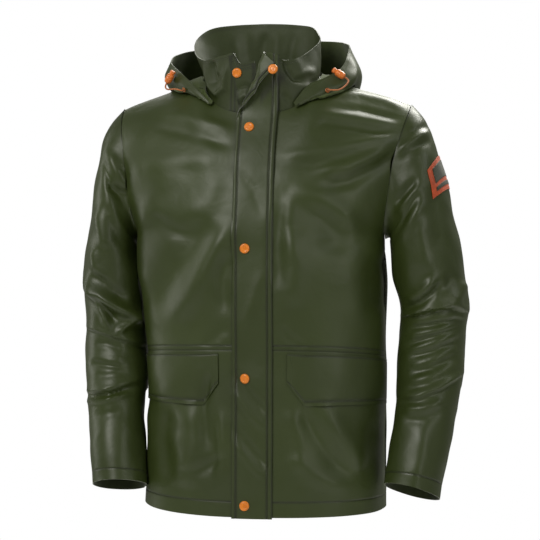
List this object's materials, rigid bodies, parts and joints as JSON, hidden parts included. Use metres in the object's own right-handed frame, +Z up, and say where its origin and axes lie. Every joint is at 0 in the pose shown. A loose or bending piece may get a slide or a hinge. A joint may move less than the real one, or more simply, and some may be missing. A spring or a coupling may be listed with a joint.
{
  "type": "raincoat",
  "caption": "Hip-length hooded raincoat of coated cloth with a snapped storm flap, pocket flaps and the hood laid back.",
  "frame": {"origin": "middle of the neck opening, level with the neck ends of the shoulder seams, where the wearer's shoulders carry the coat", "axes": "+Z up, -Y the front of the coat, +X the wearer's left"},
  "size_m": [0.6691, 0.3467, 0.8471],
  "materials": {
    "coated_cloth": "semi-gloss coating over knitted backing",
    "snap_cap": "painted, glossy",
    "eyelet": "painted",
    "cord_lock": "moulded",
    "cord": "braided",
    "patch": "woven"
  },
  "bodies": {
    "root": {"front_left": "coated_cloth", "skirt_left": "coated_cloth", "front_right": "coated_cloth", "skirt_right": "coated_cloth", "back": "coated_cloth", "sleeve_left": "coated_cloth", "sleeve_right": "coated_cloth", "collar": "coated_cloth", "hood": "coated_cloth", "storm_flap": "coated_cloth", "under_flap": "coated_cloth", "pocket_flap_left": "coated_cloth", "pocket_flap_right": "coated_cloth", "snap_1": "snap_cap", "snap_2": "snap_cap", "snap_3": "snap_cap", "snap_4": "snap_cap", "snap_5": "snap_cap", "snap_6": "snap_cap", "eyelet_left": "eyelet", "eyelet_right": "eyelet", "cord_lock_left": "cord_lock", "cord_lock_right": "cord_lock", "hood_cord_left": "cord", "hood_cord_right": "cord", "sleeve_patch": "patch"}
  },
  "joints": []
}
